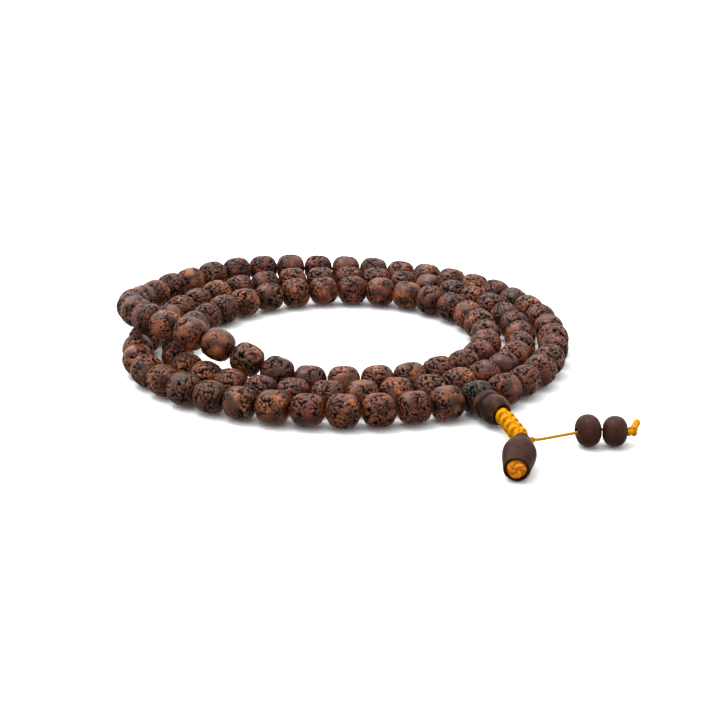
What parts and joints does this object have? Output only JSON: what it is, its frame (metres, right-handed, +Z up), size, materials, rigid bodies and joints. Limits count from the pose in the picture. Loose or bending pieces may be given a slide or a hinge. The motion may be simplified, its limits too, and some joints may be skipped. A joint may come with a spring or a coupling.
{
  "type": "mala prayer beads",
  "caption": "Strand of small dark seed beads wound into flat turns, closed by a guru bead, with a knotted tail, a bell bead and two counter beads on a thin cord.",
  "frame": {"origin": "middle of the bounding box at the surface that the beads lie on", "axes": "+Z up from that surface; +Y away from the bell bead's end, along the longest side; +X towards the counter beads"},
  "size_m": [0.1236, 0.1416, 0.0165],
  "materials": {
    "seed_bead": "satin, polished seed with a worm-track texture of tan ridges and dark pits",
    "dark_turned_bead": "satin, smooth turned dark wood",
    "yellow_cord": "matt, twisted golden-yellow cord",
    "thin_cord": "matt, thin twisted golden-yellow cord",
    "plug_cord": "matt, orange-yellow cut cord ends"
  },
  "bodies": {
    "strand": {"strand_cord": "yellow_cord", "guru_bead": "dark_turned_bead", "cap_cord": "yellow_cord", "turn_1_beads": "seed_bead", "turn_2_beads": "seed_bead", "turn_3_beads": "seed_bead"},
    "cap": {"guru_cap": "dark_turned_bead"},
    "tail": {"ball_knot": "yellow_cord", "tail_knots": "yellow_cord", "tail_cord": "yellow_cord", "plug_knot": "plug_cord", "counter_tie": "thin_cord"},
    "bell": {"bell_bead": "dark_turned_bead"},
    "counter_line": {"counter_cord": "thin_cord", "end_knot": "thin_cord"},
    "inner_counter": {"counter_bead_inner": "dark_turned_bead"},
    "outer_counter": {"counter_bead_outer": "dark_turned_bead"},
    "bead_002": {"spin_bead_002": "seed_bead"},
    "bead_005": {"spin_bead_005": "seed_bead"},
    "bead_008": {"spin_bead_008": "seed_bead"},
    "bead_011": {"spin_bead_011": "seed_bead"},
    "bead_014": {"spin_bead_014": "seed_bead"},
    "bead_017": {"spin_bead_017": "seed_bead"},
    "bead_020": {"spin_bead_020": "seed_bead"},
    "bead_023": {"spin_bead_023": "seed_bead"},
    "bead_026": {"spin_bead_026": "seed_bead"},
    "bead_029": {"spin_bead_029": "seed_bead"},
    "bead_032": {"spin_bead_032": "seed_bead"},
    "bead_035": {"spin_bead_035": "seed_bead"},
    "bead_038": {"spin_bead_038": "seed_bead"},
    "bead_041": {"spin_bead_041": "seed_bead"},
    "bead_044": {"spin_bead_044": "seed_bead"},
    "bead_047": {"spin_bead_047": "seed_bead"},
    "bead_050": {"spin_bead_050": "seed_bead"},
    "bead_053": {"spin_bead_053": "seed_bead"},
    "bead_056": {"spin_bead_056": "seed_bead"},
    "bead_059": {"spin_bead_059": "seed_bead"},
    "bead_062": {"spin_bead_062": "seed_bead"},
    "bead_065": {"spin_bead_065": "seed_bead"},
    "bead_068": {"spin_bead_068": "seed_bead"},
    "bead_071": {"spin_bead_071": "seed_bead"},
    "bead_074": {"spin_bead_074": "seed_bead"},
    "bead_077": {"spin_bead_077": "seed_bead"},
    "bead_080": {"spin_bead_080": "seed_bead"},
    "bead_083": {"spin_bead_083": "seed_bead"},
    "bead_086": {"spin_bead_086": "seed_bead"},
    "bead_089": {"spin_bead_089": "seed_bead"},
    "bead_092": {"spin_bead_092": "seed_bead"},
    "bead_095": {"spin_bead_095": "seed_bead"},
    "bead_098": {"spin_bead_098": "seed_bead"},
    "bead_101": {"spin_bead_101": "seed_bead"},
    "bead_104": {"spin_bead_104": "seed_bead"},
    "bead_107": {"spin_bead_107": "seed_bead"}
  },
  "joints": [
    {"name": "bell_spin", "type": "hinge", "parent": "tail", "child": "bell", "pos_m": [0.0348, -0.0572, 0.00435], "axis": [-0.1819, -0.9776, -0.1061], "continuous": true},
    {"name": "cap_spin", "type": "hinge", "parent": "strand", "child": "cap", "pos_m": [0.02914, -0.0362, 0.00389], "axis": [0.4495, -0.8926, -0.035], "continuous": true},
    {"name": "counter_outer_spin", "type": "hinge", "parent": "counter_line", "child": "outer_counter", "pos_m": [0.0555, -0.0505, 0.00335], "axis": [0.9877, -0.1564, 0], "continuous": true},
    {"name": "counter_slide", "type": "slide", "parent": "counter_line", "child": "inner_counter", "axis": [-0.928, -0.3727, 0], "range_m": [0, 0.006]},
    {"name": "counter_swing", "type": "hinge", "parent": "tail", "child": "counter_line", "pos_m": [0.0375, -0.0555, 0.0033], "axis": [0, 0, 1], "range_deg": [-70, 30]},
    {"name": "tail_swing", "type": "hinge", "parent": "strand", "child": "tail", "pos_m": [0.03206, -0.042, 0.00367], "axis": [0, 0, 1], "range_deg": [-20, 35]},
    {"name": "turn_bead_002", "type": "hinge", "parent": "strand", "child": "bead_002", "pos_m": [0.03876, -0.0217, 0.00405], "axis": [0.6049, 0.7963, 0], "continuous": true},
    {"name": "turn_bead_005", "type": "hinge", "parent": "strand", "child": "bead_005", "pos_m": [0.04804, 0.00006, 0.00405], "axis": [0.1755, 0.9845, 0], "continuous": true},
    {"name": "turn_bead_008", "type": "hinge", "parent": "strand", "child": "bead_008", "pos_m": [0.04751, 0.02379, 0.00405], "axis": [-0.2257, 0.9742, 0], "continuous": true},
    {"name": "turn_bead_011", "type": "hinge", "parent": "strand", "child": "bead_011", "pos_m": [0.03745, 0.04527, 0.00405], "axis": [-0.6071, 0.7946, 0], "continuous": true},
    {"name": "turn_bead_014", "type": "hinge", "parent": "strand", "child": "bead_014", "pos_m": [0.0193, 0.06052, 0.00412], "axis": [-0.8863, 0.4631, 0.0069], "continuous": true},
    {"name": "turn_bead_017", "type": "hinge", "parent": "strand", "child": "bead_017", "pos_m": [-0.00355, 0.06689, 0.00462], "axis": [-0.9973, 0.0638, 0.036], "continuous": true},
    {"name": "turn_bead_020", "type": "hinge", "parent": "strand", "child": "bead_020", "pos_m": [-0.02705, 0.06367, 0.00575], "axis": [-0.9404, -0.3357, 0.0536], "continuous": true},
    {"name": "turn_bead_023", "type": "hinge", "parent": "strand", "child": "bead_023", "pos_m": [-0.04632, 0.05007, 0.00624], "axis": [-0.6451, -0.7639, 0.0142], "continuous": true},
    {"name": "turn_bead_026", "type": "hinge", "parent": "strand", "child": "bead_026", "pos_m": [-0.05669, 0.02888, 0.00773], "axis": [-0.2246, -0.9624, 0.153], "continuous": true},
    {"name": "turn_bead_029", "type": "hinge", "parent": "strand", "child": "bead_029", "pos_m": [-0.05505, 0.00592, 0.01194], "axis": [0.3998, -0.9097, 0.1121], "continuous": true},
    {"name": "turn_bead_032", "type": "hinge", "parent": "strand", "child": "bead_032", "pos_m": [-0.03973, -0.01179, 0.01231], "axis": [0.8533, -0.516, -0.0756], "continuous": true},
    {"name": "turn_bead_035", "type": "hinge", "parent": "strand", "child": "bead_035", "pos_m": [-0.01879, -0.02065, 0.00555], "axis": [0.9256, -0.2721, -0.263], "continuous": true},
    {"name": "turn_bead_038", "type": "hinge", "parent": "strand", "child": "bead_038", "pos_m": [0.00463, -0.02196, 0.00405], "axis": [0.9819, 0.1892, 0], "continuous": true},
    {"name": "turn_bead_041", "type": "hinge", "parent": "strand", "child": "bead_041", "pos_m": [0.02516, -0.01086, 0.00405], "axis": [0.6448, 0.7643, 0], "continuous": true},
    {"name": "turn_bead_044", "type": "hinge", "parent": "strand", "child": "bead_044", "pos_m": [0.03229, 0.01128, 0.00405], "axis": [-0.0296, 0.9996, 0], "continuous": true},
    {"name": "turn_bead_047", "type": "hinge", "parent": "strand", "child": "bead_047", "pos_m": [0.02501, 0.03363, 0.00405], "axis": [-0.5769, 0.8168, 0], "continuous": true},
    {"name": "turn_bead_050", "type": "hinge", "parent": "strand", "child": "bead_050", "pos_m": [0.00616, 0.04744, 0.00405], "axis": [-0.9584, 0.2854, 0], "continuous": true},
    {"name": "turn_bead_053", "type": "hinge", "parent": "strand", "child": "bead_053", "pos_m": [-0.01722, 0.04632, 0.00405], "axis": [-0.9357, -0.3527, 0], "continuous": true},
    {"name": "turn_bead_056", "type": "hinge", "parent": "strand", "child": "bead_056", "pos_m": [-0.03568, 0.03184, 0.00405], "axis": [-0.5664, -0.8241, 0], "continuous": true},
    {"name": "turn_bead_059", "type": "hinge", "parent": "strand", "child": "bead_059", "pos_m": [-0.04403, 0.00964, 0.00405], "axis": [-0.1629, -0.9866, 0], "continuous": true},
    {"name": "turn_bead_062", "type": "hinge", "parent": "strand", "child": "bead_062", "pos_m": [-0.04045, -0.01331, 0.00405], "axis": [0.5294, -0.8484, 0], "continuous": true},
    {"name": "turn_bead_065", "type": "hinge", "parent": "strand", "child": "bead_065", "pos_m": [-0.02232, -0.02823, 0.00405], "axis": [0.9188, -0.3948, 0], "continuous": true},
    {"name": "turn_bead_068", "type": "hinge", "parent": "strand", "child": "bead_068", "pos_m": [0.00106, -0.03163, 0.00405], "axis": [0.9959, 0.09, 0], "continuous": true},
    {"name": "turn_bead_071", "type": "hinge", "parent": "strand", "child": "bead_071", "pos_m": [0.02343, -0.02399, 0.00405], "axis": [0.8348, 0.5505, 0], "continuous": true},
    {"name": "turn_bead_074", "type": "hinge", "parent": "strand", "child": "bead_074", "pos_m": [0.03816, -0.00574, 0.00405], "axis": [0.3528, 0.9357, 0], "continuous": true},
    {"name": "turn_bead_077", "type": "hinge", "parent": "strand", "child": "bead_077", "pos_m": [0.04024, 0.01779, 0.00405], "axis": [-0.1493, 0.9888, 0], "continuous": true},
    {"name": "turn_bead_080", "type": "hinge", "parent": "strand", "child": "bead_080", "pos_m": [0.03117, 0.03963, 0.00405], "axis": [-0.5981, 0.8014, 0], "continuous": true},
    {"name": "turn_bead_083", "type": "hinge", "parent": "strand", "child": "bead_083", "pos_m": [0.01271, 0.05434, 0.00405], "axis": [-0.9148, 0.4039, 0], "continuous": true},
    {"name": "turn_bead_086", "type": "hinge", "parent": "strand", "child": "bead_086", "pos_m": [-0.01061, 0.05804, 0.00405], "axis": [-0.9951, -0.0989, 0], "continuous": true},
    {"name": "turn_bead_089", "type": "hinge", "parent": "strand", "child": "bead_089", "pos_m": [-0.03275, 0.04987, 0.00405], "axis": [-0.8106, -0.5856, 0], "continuous": true},
    {"name": "turn_bead_092", "type": "hinge", "parent": "strand", "child": "bead_092", "pos_m": [-0.047, 0.03114, 0.00405], "axis": [-0.3682, -0.9297, 0], "continuous": true},
    {"name": "turn_bead_095", "type": "hinge", "parent": "strand", "child": "bead_095", "pos_m": [-0.0535, 0.00813, 0.00405], "axis": [-0.1974, -0.9803, 0], "continuous": true},
    {"name": "turn_bead_098", "type": "hinge", "parent": "strand", "child": "bead_098", "pos_m": [-0.04992, -0.01485, 0.00405], "axis": [0.5032, -0.8641, 0], "continuous": true},
    {"name": "turn_bead_101", "type": "hinge", "parent": "strand", "child": "bead_101", "pos_m": [-0.03341, -0.0318, 0.00405], "axis": [0.8439, -0.5365, 0], "continuous": true},
    {"name": "turn_bead_104", "type": "hinge", "parent": "strand", "child": "bead_104", "pos_m": [-0.01112, -0.03992, 0.00405], "axis": [0.9894, -0.1451, 0], "continuous": true},
    {"name": "turn_bead_107", "type": "hinge", "parent": "strand", "child": "bead_107", "pos_m": [0.01255, -0.03841, 0.00405], "axis": [0.9606, 0.278, 0], "continuous": true}
  ]
}
